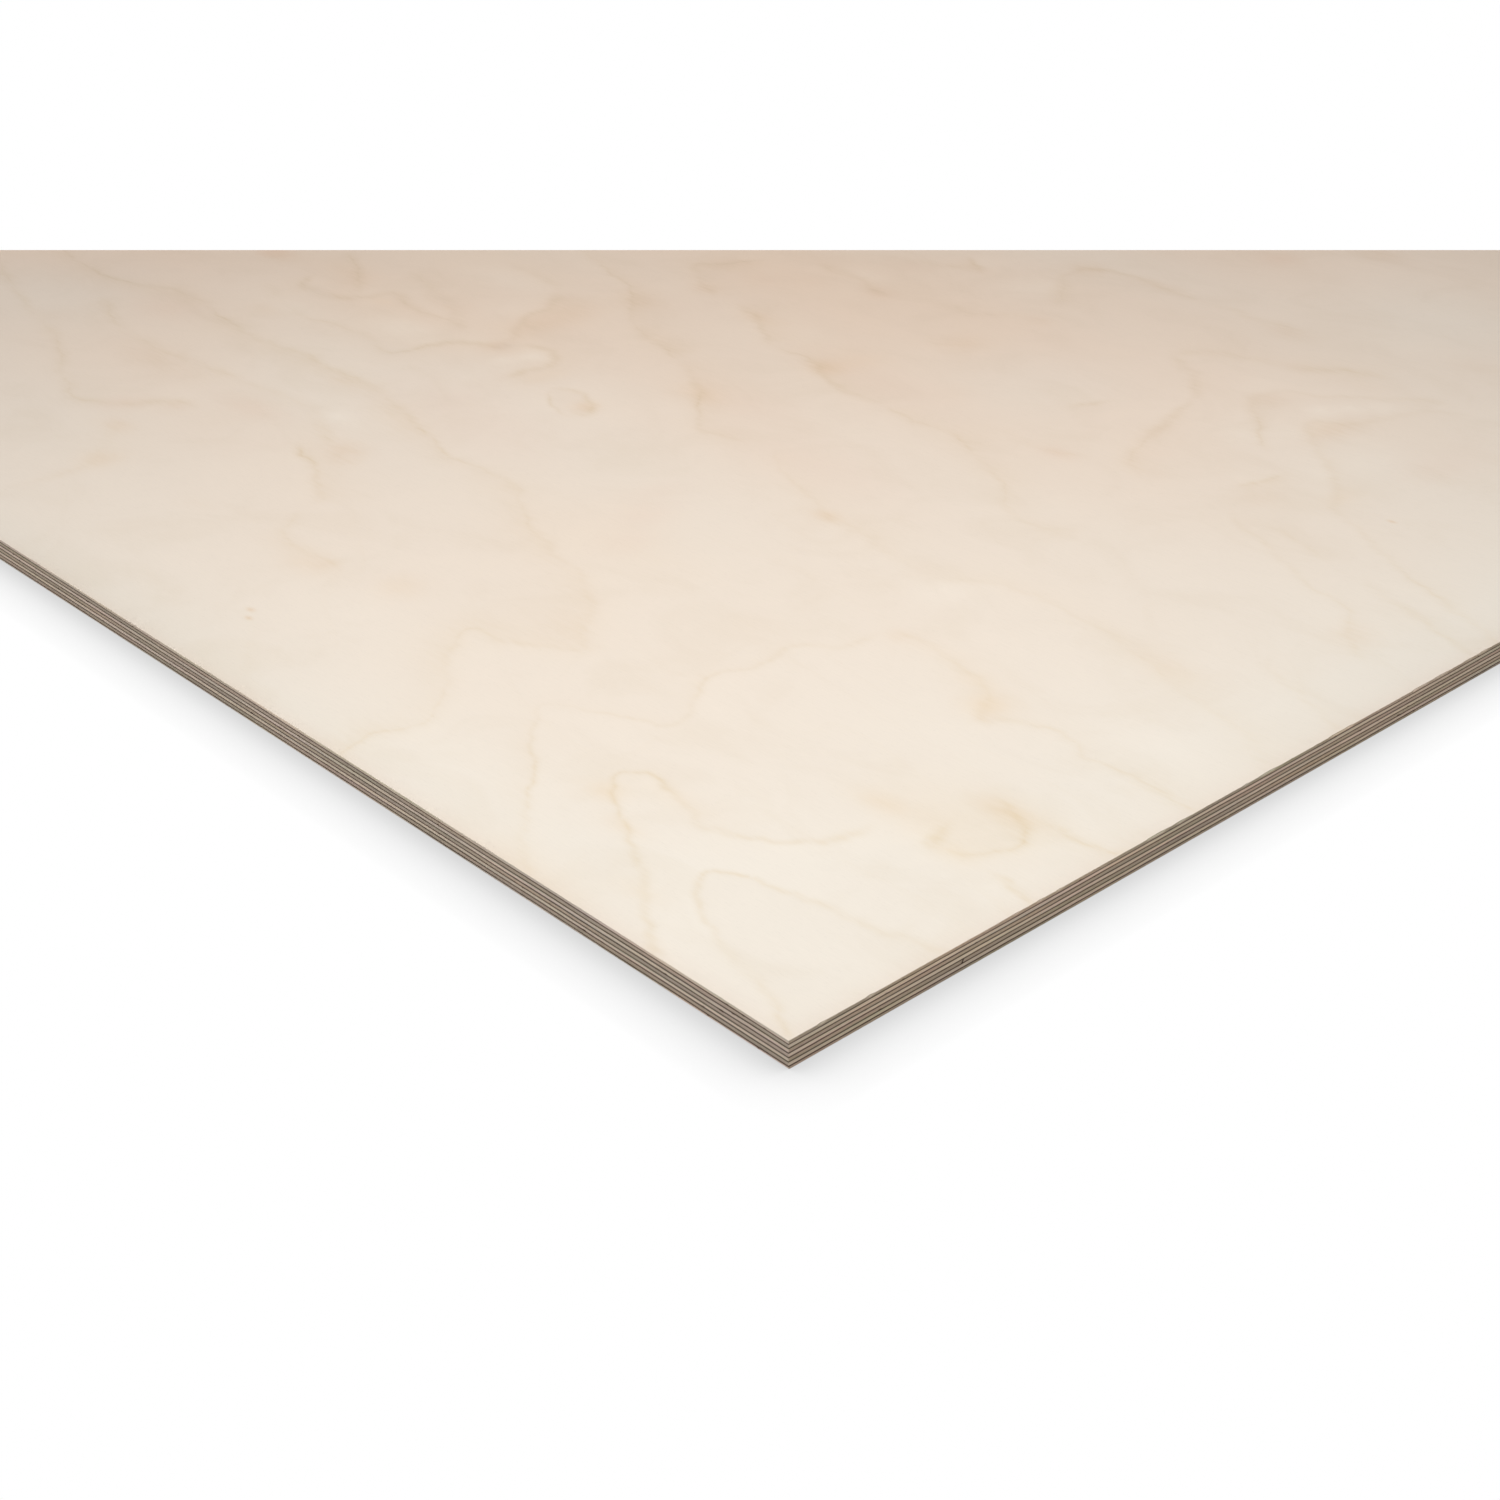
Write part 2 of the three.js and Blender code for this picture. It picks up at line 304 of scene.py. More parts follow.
def chance_along(at, wave):
    """Smooth chance values from 0 to 1 along a run, about one swing in each wave."""
    knots = rng.random(int(at[-1] / wave) + 2)
    i = (at / wave).astype(int)
    t = smooth_step(at / wave - i, 0, 1)
    return knots[i] * (1 - t) + knots[i + 1] * t


# Along its run a growth line swells, thins, and here and there has a hair-fine dark core.
END_FADE = 14.0
SWELL_WAVE, SPREAD_WAVE, HAIR_WAVE = 18.0, 22.0, 26.0
lines = []
for strength, width, soft, places in GROWTH_LINES:
    at, line, left = run_through(places)
    swell = (0.55 + 0.9 * chance_along(at, SWELL_WAVE)) * fade_at_ends(at, line)
    spread = width * (0.8 + 0.8 * chance_along(at, SPREAD_WAVE))
    hair = smooth_step(chance_along(at, HAIR_WAVE), 0.45, 0.85)
    lines.append((strength * swell, spread, hair, soft, line, left))

# The top is triangulated from the sheet's outline, an even grid, and rows on both sides of each
# growth line, close together so that the line's sharp side stays sharp. Specks have points of
# their own. All sizes are in millimetres.
ARRIS_STEP = 2.0
FINE_GRID, FINE_MARGIN = 6.0, 5.0  # under the set figure
COARSE_GRID, COARSE_MARGIN = 24.0, 8.0
ROWS_BESIDE_LINE = (-7.0, -4.2, -2.4, -1.3, -0.6, 0.0, 0.6, 1.3, 2.4, 4.2, 7.0)
SPECK = 3  # a brown patch shorter than this
CLEAR_OF_ARRIS = 1.5

u_steps = np.linspace(0, LENGTH, int(LENGTH / ARRIS_STEP), endpoint=False)
v_steps = np.linspace(0, WIDTH, int(WIDTH / ARRIS_STEP), endpoint=False)
outline = np.vstack([
    np.stack([u_steps, 0 * u_steps], 1),
    np.stack([0 * v_steps + LENGTH, v_steps], 1),
    np.stack([LENGTH - u_steps, 0 * u_steps + WIDTH], 1),
    np.stack([0 * v_steps, WIDTH - v_steps], 1),
])


def grid_inside(step, margin):
    u = np.arange(margin, LENGTH - margin / 2, step)
    v = np.arange(margin, WIDTH - margin / 2, step)
    place = np.stack(np.meshgrid(u, v), -1).reshape(-1, 2)
    return place + rng.uniform(-0.2, 0.2, place.shape) * step


fine = grid_inside(FINE_GRID, FINE_MARGIN)
coarse = grid_inside(COARSE_GRID, COARSE_MARGIN)
inner = [fine[drawn_share(fine) > 0], coarse[drawn_share(coarse) <= 0]]
for *_, line, left in lines:
    inner += [line + left * side for side in ROWS_BESIDE_LINE]
cluster = np.stack(np.meshgrid(*[np.linspace(-2.4, 2.4, 7)] * 2), -1).reshape(-1, 2)
inner += [(u, v) + cluster * (along, across) for u, v, along, across, _ in BROWN_PATCHES if along < SPECK]
inner = np.vstack(inner)
far_corner = np.array((LENGTH, WIDTH))
inner = inner[((inner > CLEAR_OF_ARRIS) & (inner < far_corner - CLEAR_OF_ARRIS)).all(1)]
count = len(outline)
border = [(i, (i + 1) % count) for i in range(count)]
flat = np.vstack([outline, inner])
made, _, top_faces, *_ = delaunay_2d_cdt([Vector(p) for p in flat], border, [], 0, 1e-4)
flat = np.array([tuple(p) for p in made])
assert np.allclose(flat[:count], outline, atol=1e-3)

# How far a growth line marks the wood beside it, in half widths of the line or in millimetres,
# and how much the lines and brown patches add to the other marks.
LINE_REACH, SOFT_FADING, SHARP_FADING = 8, 2.6, 1.8  # half widths
HAIR_CORE, PALE_REACH = 0.6, 14.0
RING_IN_BROWN, PINK_IN_BROWN, PALE_BY_LINE, AMBER_BY_LINE = 0.16, 0.3, 3.2, 1.1


def line_marks(place):
    """How strongly the growth lines mark each place, from 0 to 1, how much paler the wood is just
    over a line's sharp side, and how much amber skirts the line."""
    clear = np.ones(len(place))
    paler = np.zeros(len(place))
    skirt = np.zeros(len(place))
    for strength, spread, hair, soft, line, left in lines:
        reach = LINE_REACH * spread.max()
        near = np.all((place > line.min(0) - reach) & (place < line.max(0) + reach), axis=1)
        near = np.flatnonzero(near)
        if not len(near):
            continue
        away = place[near][:, None] - line[None]
        squared = (away**2).sum(2)
        nearest = squared.argmin(1)
        row = np.arange(len(near))
        distance = np.sqrt(squared[row, nearest])
        side = np.sign((away[row, nearest] * left[nearest]).sum(1))
        strength, spread, hair = strength[nearest], spread[nearest], hair[nearest]
        core = np.exp(-((distance / spread) ** 2))
        fine_core = 0.8 * hair * np.exp(-((distance / HAIR_CORE) ** 2))
        on_soft_side = side * np.sign(soft) > 0
        fading = np.where(
            on_soft_side,
            np.exp(-distance / (SOFT_FADING * spread)),
            0.7 * np.exp(-distance / (SHARP_FADING * spread)),
        )
        clear[near] *= 1 - strength * np.maximum(core + fine_core, abs(soft) * fading)
        paler[near] += strength * (1 - core) * np.exp(-distance / PALE_REACH) * ~on_soft_side
        skirt[near] += strength * abs(soft) * fading * (1 - 0.5 * core)
    return 1 - clear, paler, skirt


def patch_sum(place, patches):
    total = np.zeros(len(place))
    for u, v, along, across, amount in patches:
        total += amount * np.exp(-(((place[:, 0] - u) / along) ** 2 + ((place[:, 1] - v) / across) ** 2))
    return total


share = drawn_share(flat)
ring, paler, skirt = line_marks(flat)
brown = patch_sum(flat, BROWN_PATCHES)
amber_stains = [stain for stain in STAINS if stain[-1] > 0]
pink_stains = [stain for stain in STAINS if stain[-1] < 0]
marks = {
    "ring": np.minimum(ring + RING_IN_BROWN * brown, 1) * share,
    "pale": (patch_sum(flat, PALE_PATCHES) + PALE_BY_LINE * paler) * share,
    "amber": (patch_sum(flat, amber_stains) + AMBER_BY_LINE * skirt) * share,
    "pink": (PINK_IN_BROWN * brown - patch_sum(flat, pink_stains)) * share,
    "sapwood": patch_sum(flat, SAPWOOD) * share,
    "drawn": share,
}

# Sawing breaks a little off the top arris, more at the ends, where it leaves the fibres. The
# sander then rounds what is left. Each row of the wall has its height and how far in it lies:
# three round the arris off, and the saw cut goes down from there. All are in millimetres.
END_SPLINTERS, SIDE_SPLINTERS, SPLINTER_WAVE = 0.33, 0.10, 4.5
SAW_MARKS, SAW_WAVE = 0.05, 5.0

inward = (outline < 1e-6) * 1.0 - (outline > far_corner - 1e-6)
at = np.arange(count) * ARRIS_STEP
splinter = smooth_step(chance_along(at, SPLINTER_WAVE), 0.55, 1.0)
splinter *= np.where(inward[:, 0] != 0, END_SPLINTERS, SIDE_SPLINTERS)
saw_marks = SAW_MARKS * chance_along(at, SAW_WAVE)
wall_rows = [
    (FACE_TOP - 0.15 * splinter, 0.22 + saw_marks + splinter),
    (FACE_TOP - 0.12 - 0.45 * splinter, 0.10 + saw_marks + 0.8 * splinter),
    (FACE_TOP - 0.26 - 0.35 * splinter, 0.03 + saw_marks + 0.4 * splinter),
    (FACE_TOP - 0.60 + 0 * splinter, saw_marks),
    (FACE_BOTTOM + 0 * splinter, saw_marks * 0.6),
]
spots = np.column_stack([flat, np.full(len(flat), FACE_TOP)])
spots[:count, :2] += inward * wall_rows[0][1][:, None]
spots[:count, 2] = wall_rows[0][0]
for height, depth in wall_rows[1:]:
    spots = np.vstack([spots, np.column_stack([outline + inward * depth[:, None], height])])
veneer_points = np.column_stack([
    (high[0] / MM - spots[:, 0]), (low[1] / MM + spots[:, 1]), spots[:, 2]
]) * MM

row_start = [0] + [len(flat) + i * count for i in range(len(wall_rows) - 1)]
wall_faces = [
    (upper + i, upper + j, lower + j, lower + i)
    for upper, lower in zip(row_start, row_start[1:])
    for i, j in border
]
_, _, base_faces, *_ = delaunay_2d_cdt([Vector(p) for p in outline], border, [], 0, 1e-4)
base_faces = [tuple(row_start[-1] + i for i in face) for face in base_faces]
# u runs against X, so faces that turn left in (u, v) turn right in the sheet's own frame.
faces = [tuple(reversed(face)) for face in top_faces] + wall_faces + base_faces

face_mesh = bpy.data.meshes.new("face_veneer_sanded")
face_mesh.from_pydata(veneer_points.tolist(), [], faces)
on_wall = np.zeros(len(veneer_points) - len(flat))
for name, values in marks.items():
    attribute = face_mesh.attributes.new(name, "FLOAT", "POINT")
    attribute.data.foreach_set("value", np.concatenate([values, on_wall]))
face_mesh.update()
face_veneer = stand("face_veneer_sanded", face_mesh)


def paint(code):
    """An sRGB colour such as #c8a070 as the linear values that a shader takes."""
    values = [int(code[i : i + 2], 16) / 255 for i in (1, 3, 5)]
    return (*(v / 12.92 if v <= 0.04045 else ((v + 0.055) / 1.055) ** 2.4 for v in values), 1.0)


def node(tree, kind, inputs=(), **settings):
    """Adds a node, or takes one that is there, and gives it its settings and its inputs, by name or
    in their order: each a value, another node or a node's socket. A kind with no Node in it is a
    ShaderNode. A MapRange takes a value, the two ends that it runs between, and two new ends."""
    if isinstance(kind, str):
        kind = tree.nodes.new(kind if "Node" in kind else "ShaderNode" + kind)
    for name, value in settings.items():
        setattr(kind, name, value)
    for key, value in inputs.items() if isinstance(inputs, dict) else enumerate(inputs):
        shown = {socket.name: socket for socket in reversed(kind.inputs) if socket.enabled}
        socket = kind.inputs[key] if isinstance(key, int) else shown[key]
        for one in value if isinstance(value, list) else [value]:
            if isinstance(one, bpy.types.Node):
                one = next(s for s in one.outputs if s.enabled)
            if isinstance(one, bpy.types.NodeSocket):
                tree.links.new(one, socket)
            else:
                socket.default_value = one
    return kind


def new_finish(name):
    """A material, with its node tree, its surface shader and the place on the object."""
    material = bpy.data.materials.new(name)
    material.use_nodes = True
    tree = material.node_tree
    return material, tree, tree.nodes["Principled BSDF"], node(tree, "TexCoord").outputs["Object"]


SOILED_BAND = 14 * MM  # along each edge


def birch_rotary_cut_sanded():
    """Birch face veneer, sanded with 120 grit. Pale, close and matt: the growth rings are thin
    yellow-brown contours, and the pores are short fine flecks along the grain."""
    material, tree, surface, place = new_finish("birch_rotary_cut_sanded")
    read = {name: node(tree, "Attribute", attribute_name=name).outputs["Fac"] for name in marks}
    split = node(tree, "SeparateXYZ", {"Vector": place}).outputs

    # Warmer and darker away from the near corner: in part broad heartwood warmth, about 0.5 m by 0.2 m, and
    # in part painted light falloff, the wood darkening as it leaves the corner under the corner lamp.
    broad = {"Scale": (2.0, 5.0, 1.0), "Location": (3.1, 1.7, 0.0)}
    broad = node(tree, "Mapping", {"Vector": place, **broad})
    broad = node(tree, "TexNoise", {"Vector": broad, "Scale": 1.0, "Detail": 2.0})
    from_end = node(tree, "Math", (high[0], split["X"]), operation="SUBTRACT")
    from_side = node(tree, "Math", (split["Y"], -low[1]), operation="ADD")
    from_end = node(tree, "Math", (from_end, 0.7), operation="POWER")
    from_side = node(tree, "Math", (from_side, 0.45), operation="POWER")
    out_from_lit_corner = node(tree, "Math", (from_end, from_side), operation="MULTIPLY")
    # Painted light falloff and heartwood warmth together: the farther from the near corner, the darker and
    # warmer the wood.
    warmth_and_falloff = node(tree, "MapRange", (out_from_lit_corner, 0.04, 0.38))
    warmth_and_falloff = node(tree, "Math", (warmth_and_falloff, 0.8), operation="POWER")
    warmth_and_falloff = node(tree, "Math", (warmth_and_falloff, broad), operation="MULTIPLY")
    warmth_and_falloff = node(tree, "Math", (warmth_and_falloff, 1.67), operation="MULTIPLY", use_clamp=True)
    heartwood = node(tree, "Math", (1.0, read["sapwood"]), operation="SUBTRACT")
    warmth_and_falloff = node(tree, "Math", (warmth_and_falloff, heartwood), operation="MULTIPLY", use_clamp=True)
    sap_wood, heart_wood_and_falloff = paint("#ece3d6"), paint("#efd6c0")
    wood = node(tree, "Mix", {"Factor": warmth_and_falloff, "A": sap_wood, "B": heart_wood_and_falloff}, data_type="RGBA")

    # Chance growth lines, faint where the set ones are and plain on the rest of the sheet: contours
    # of a slope that is long with the grain and steep across it. A sawtooth gives them one sharp
    # side, and a slow change lets them come and go. All the lines fray along the fibres.
    slope = node(tree, "Mapping", {"Vector": place, "Scale": (1.5, 5.5, 1.0)})
    bends = {"Scale": 1.0, "Detail": 3.0, "Roughness": 0.42, "Distortion": 0.5}
    slope = node(tree, "TexNoise", {"Vector": slope, **bends})
    slope = node(tree, "Math", (slope, 17.0), operation="MULTIPLY")
    sawtooth = node(tree, "Math", (slope,), operation="FRACT")
    contour = node(tree, "Math", (sawtooth, 7.0), operation="POWER")
    coming = {"Scale": (9.0, 14.0, 1.0), "Location": (5.0, 2.0, 0.0)}
    coming = node(tree, "Mapping", {"Vector": place, **coming})
    coming = node(tree, "TexNoise", {"Vector": coming, "Scale": 1.0, "Detail": 2.0})
    coming = node(tree, "MapRange", (coming, 0.35, 0.65, 0.3, 1.0))
    strength = node(tree, "MapRange", (read["drawn"], 0.0, 1.0, 0.34, 0.05))
    for part in (coming, strength):
        contour = node(tree, "Math", (contour, part), operation="MULTIPLY")
    rings = node(tree, "Math", (contour, read["ring"]), operation="MAXIMUM")
    frayed = node(tree, "Mapping", {"Vector": place, "Scale": (90.0, 480.0, 1.0)})
    frayed = node(tree, "TexNoise", {"Vector": frayed, "Scale": 1.0, "Detail": 2.0})
    frayed = node(tree, "MapRange", (frayed, 0.3, 0.7, 0.55, 1.45))
    rings = node(tree, "Math", (rings, frayed), operation="MULTIPLY")

    # Cloudy figure a few centimetres across, everywhere: paler here, browner there.
    cloud = node(tree, "Mapping", {"Vector": place, "Scale": (20.0, 28.0, 1.0)})
    billows = {"Scale": 1.0, "Detail": 4.0, "Roughness": 0.6, "Distortion": 0.9}
    cloud = node(tree, "TexNoise", {"Vector": cloud, **billows})
    cloud = node(tree, "MapRange", (cloud, 0.3, 0.7, -1.0, 1.0))
    brown = node(tree, "Math", (cloud, -0.11), operation="MULTIPLY", use_clamp=True)
    rings = node(tree, "Math", (rings, brown), operation="ADD", use_clamp=True)
    tone = node(tree, "Math", (read["pale"], cloud), operation="ADD")
    tone = node(tree, "Math", (tone, 0.011, 1.0), operation="MULTIPLY_ADD")

    # Fibres 0.4 mm wide, drawn wider than birch's own 0.02 mm so that they show.
    fibre = node(tree, "Mapping", {"Vector": place, "Scale": (120.0, 2400.0, 1.0)})
    fibre = node(tree, "TexNoise", {"Vector": fibre, "Scale": 1.0, "Detail": 3.0, "Roughness": 0.6})
    streak = node(tree, "MapRange", (fibre, 0.3, 0.7, 0.985, 1.012))
    pores = node(tree, "Mapping", {"Vector": place, "Scale": (260.0, 1500.0, 1.0)})
    pores = node(tree, "TexVoronoi", {"Vector": pores, "Scale": 1.0})
    pores = node(tree, "MapRange", (pores, 0.08, 0.22, 0.96, 1.0))
    fine_grain = node(tree, "Math", (streak, pores), operation="MULTIPLY")
    shade = node(tree, "Math", (fine_grain, tone), operation="MULTIPLY")

    # Stains, and the last centimetre along each edge, soiled a little by hands and saw dust.
    to_edges = []
    for axis, edge in (("X", high[0]), ("Y", high[1])):
        from_middle = node(tree, "Math", (split[axis],), operation="ABSOLUTE")
        to_edges.append(node(tree, "Math", (edge, from_middle), operation="SUBTRACT"))
    to_edge = node(tree, "Math", (to_edges[0], to_edges[1]), operation="MINIMUM")
    soiled = node(tree, "MapRange", (to_edge, 0.0, SOILED_BAND, 1.0, 0.0))
    soiled = node(tree, "Math", (soiled, 3.0), operation="POWER")
    amber, pink = (
        node(tree, "Math", (read[stain], 0.55), operation="MULTIPLY", use_clamp=True)
        for stain in ("amber", "pink")
    )
    for stained, tint in ((amber, "#fef5e7"), (pink, "#fdf3f0"), (soiled, "#fbf7f5")):
        tinted = node(tree, "VectorMath", (wood, paint(tint)[:3]), operation="MULTIPLY")
        wood = node(tree, "Mix", {"Factor": stained, "A": wood, "B": tinted}, data_type="RGBA")
    bleached = node(tree, "Math", (read["pale"], 0.07), operation="MULTIPLY", use_clamp=True)
    marked = node(tree, "Math", (rings, 0.6), operation="MULTIPLY")
    sap_ring, heart_ring = paint("#dac295"), paint("#d8be9f")
    latewood = node(tree, "Mix", {"Factor": warmth_and_falloff, "A": sap_ring, "B": heart_ring}, data_type="RGBA")
    for amount, colour in ((bleached, paint("#f6f1e6")), (marked, latewood)):
        wood = node(tree, "Mix", {"Factor": amount, "A": wood, "B": colour}, data_type="RGBA")
    wood = node(tree, "VectorMath", (wood, shade), operation="MULTIPLY")

    bump = node(tree, "Bump", {"Height": fibre, "Distance": 0.02 * MM, "Strength": 0.35})
    node(tree, surface, {"Base Color": wood, "Normal": bump})
    node(tree, surface, {"Roughness": 0.62, "IOR": 1.45, "Specular IOR Level": 0.3})
    return material


# The painted shade under the top arris: none below the first height, full above the second.
UNSHADED_BELOW, SHADED_ABOVE = (FACE_TOP - 0.7) * MM, (FACE_TOP - 0.35) * MM
lowest_film, next_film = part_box("glue_line_6"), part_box("glue_line_5")
FILM_MIDDLE = (lowest_film[0][2] + lowest_film[1][2]) / 2
FILM_PITCH = next_film[0][2] - lowest_film[0][2]
RESIN_SWAY = 0.08 * MM  # up and down
RESIN_CREEP = 0.12 * MM  # into the grain
RESIN_DROP = 0.22 * MM
SOAKED, UNSOAKED = 0.07 * MM, 0.21 * MM  # browned through up to the first, and not past the second


def birch_sawn_edge(name, end_grain_faces):
    """Birch veneer where a circular saw cut the sheet to size. Cut along the fibres it is light
    and streaky; cut across them it drinks the light through its open pores and looks darker.
    Resin has crept a little way into the wood from each glue line and browned it."""
    material, tree, surface, place = new_finish(name)
    split = node(tree, "SeparateXYZ", {"Vector": place}).outputs
    facing = node(tree, "NewGeometry").outputs["True Normal"]
    facing = node(tree, "VectorMath", (facing,), operation="ABSOLUTE")
    facing = node(tree, "SeparateXYZ", {"Vector": facing}).outputs
    end_grain, at_end_face = (
        node(tree, "Math", (facing[axis], 0.7), operation="GREATER_THAN")
        for axis in (end_grain_faces, "X")
    )

    # Streaks 0.2 mm thick and 8 mm long in the long grain, grains 0.4 by 1.4 mm in the end grain.
    long_way = node(tree, "Mapping", {"Vector": place, "Scale": (130.0, 130.0, 5500.0)})
    long_way = node(tree, "TexNoise", {"Vector": long_way, "Scale": 1.0, "Detail": 3.0, "Roughness": 0.65})
    end_way = node(tree, "Mapping", {"Vector": place, "Scale": (700.0, 700.0, 2600.0)})
    end_way = node(tree, "TexNoise", {"Vector": end_way, "Scale": 1.0, "Detail": 4.0, "Roughness": 0.7})
    light_wood, dark_wood = (
        node(tree, "Mix", {"Factor": way, "A": paint(dull), "B": paint(bright)}, data_type="RGBA")
        for way, dull, bright in ((long_way, "#cdb9a4", "#f2e2d0"), (end_way, "#a08e7b", "#dccab6"))
    )
    wood = node(tree, "Mix", {"Factor": end_grain, "A": light_wood, "B": dark_wood}, data_type="RGBA")

    # Slow changes along the edge, a few centimetres long, differing from ply to ply in tone and
    # in hue. The ends of the sheet are warmer than its sides, and just under the top arris the edge carries
    # painted shade.
    slow = node(tree, "Mapping", {"Vector": place, "Scale": (22.0, 22.0, 900.0)})
    slow = node(tree, "TexNoise", {"Vector": slow, "Scale": 1.0, "Detail": 2.0})
    tone = node(tree, "MapRange", (slow, 0.3, 0.7, 0.895, 1.10))
    hue = (slow.outputs["Color"], (0.26, 0.26, 0.26), (0.867, 0.87, 0.873))
    hue = node(tree, "VectorMath", hue, operation="MULTIPLY_ADD")
    # Painted shade: the edge darkens to 0.82 of its colour from 0.7 mm to 0.35 mm under the face.
    painted_arris_shade = node(tree, "MapRange", (split["Z"], UNSHADED_BELOW, SHADED_ABOVE, 1.0, 0.82))
    for tint in (tone, hue, painted_arris_shade):
        wood = node(tree, "VectorMath", (wood, tint), operation="MULTIPLY")
    warmer = node(tree, "VectorMath", (wood, paint("#fbf7f1")[:3]), operation="MULTIPLY")
    wood = node(tree, "Mix", {"Factor": at_end_face, "A": wood, "B": warmer}, data_type="RGBA")

    # Height above the middle of the lowest film; the six films lie one pitch apart. The resin
    # crept further up in one place and further down in the next, some 30 mm on, and a drop of it
    # here and there has run out between the fibres.
    sway = node(tree, "Mapping", {"Vector": place, "Scale": (33.0, 33.0, 320.0)})
    sway = node(tree, "TexNoise", {"Vector": sway, "Scale": 1.0, "Detail": 1.0})
    sway = node(tree, "MapRange", (sway, 0.3, 0.7, -RESIN_SWAY, RESIN_SWAY))
    creep = node(tree, "Math", (end_way, -RESIN_CREEP), operation="MULTIPLY")
    drops = node(tree, "Mapping", {"Vector": place, "Scale": (420.0, 420.0, 900.0)})
    drops = node(tree, "TexNoise", {"Vector": drops, "Scale": 1.0, "Detail": 1.0})
    drops = node(tree, "MapRange", (drops, 0.70, 0.78, 0.0, -RESIN_DROP))
    up = node(tree, "Math", (split["Z"], sway), operation="ADD")
    up = node(tree, "Math", (up, -FILM_MIDDLE), operation="ADD")
    film = node(tree, "Math", (up, FILM_PITCH / 2), operation="PINGPONG")
    for nearer in (creep, drops):
        film = node(tree, "Math", (film, nearer), operation="ADD")
    soak = node(tree, "MapRange", (film, SOAKED, UNSOAKED, 1.0, 0.0))
    wood = node(tree, "Mix", {"Factor": soak, "A": wood, "B": paint("#4a3119")}, data_type="RGBA")

    grain = node(tree, "Mix", {"Factor": end_grain, "A": long_way, "B": end_way}, data_type="FLOAT")
    bump = node(tree, "Bump", {"Height": grain, "Distance": 0.08 * MM, "Strength": 0.6})
    node(tree, surface, {"Base Color": wood, "Normal": bump})
    node(tree, surface, {"Roughness": 0.8, "IOR": 1.45, "Specular IOR Level": 0.25})
    return material


sanded_birch = birch_rotary_cut_sanded()
long_grain_edge = birch_sawn_edge("birch_long_grain_sawn", "X")
cross_grain_edge = birch_sawn_edge("birch_cross_grain_sawn", "Y")
face_mesh.materials.append(sanded_birch)
face_mesh.materials.append(long_grain_edge)
slots = np.zeros(len(face_mesh.polygons), np.int32)
slots[len(top_faces):] = 1
face_mesh.polygons.foreach_set("material_index", slots)
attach(face_veneer, "root")
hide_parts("face_veneer")

# ---- Glue lines ----
# Six films of phenol-formaldehyde resin, spread as a dark liquid and cured hard in the hot press.


def phenolic_resin():
    """Cured phenolic resin: dark red-brown and hard, cut to a dull shine by the saw, and thinner
    or thicker every 3 mm or so as the veneers drank it."""
    material, tree, surface, place = new_finish("phenolic_resin_cured")
    patchy = node(tree, "Mapping", {"Vector": place, "Scale": (350.0, 350.0, 3000.0)})
    patchy = node(tree, "TexNoise", {"Vector": patchy, "Scale": 1.0, "Detail": 3.0})
    patchy = node(tree, "MapRange", (patchy, 0.35, 0.65))
    thick, thin = paint("#28180c"), paint("#4c3119")
    resin = node(tree, "Mix", {"Factor": patchy, "A": thick, "B": thin}, data_type="RGBA")
    bump = node(tree, "Bump", {"Height": patchy, "Distance": 0.03 * MM, "Strength": 0.5})
    node(tree, surface, {"Base Color": resin, "Normal": bump, "Roughness": 0.5, "IOR": 1.55})
    return material


resin = phenolic_resin()
for number in range(1, 7):
    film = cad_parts[f"glue_line_{number}"]
    for slot in film.material_slots:
        slot.link = "OBJECT"
        slot.material = resin

# ---- Core and back veneers ----
# The plies under the face, laid with the grain square to the last. The saw leaves their edges
# slightly ragged, and the resin films between them, which are harder, stand a hair proud.


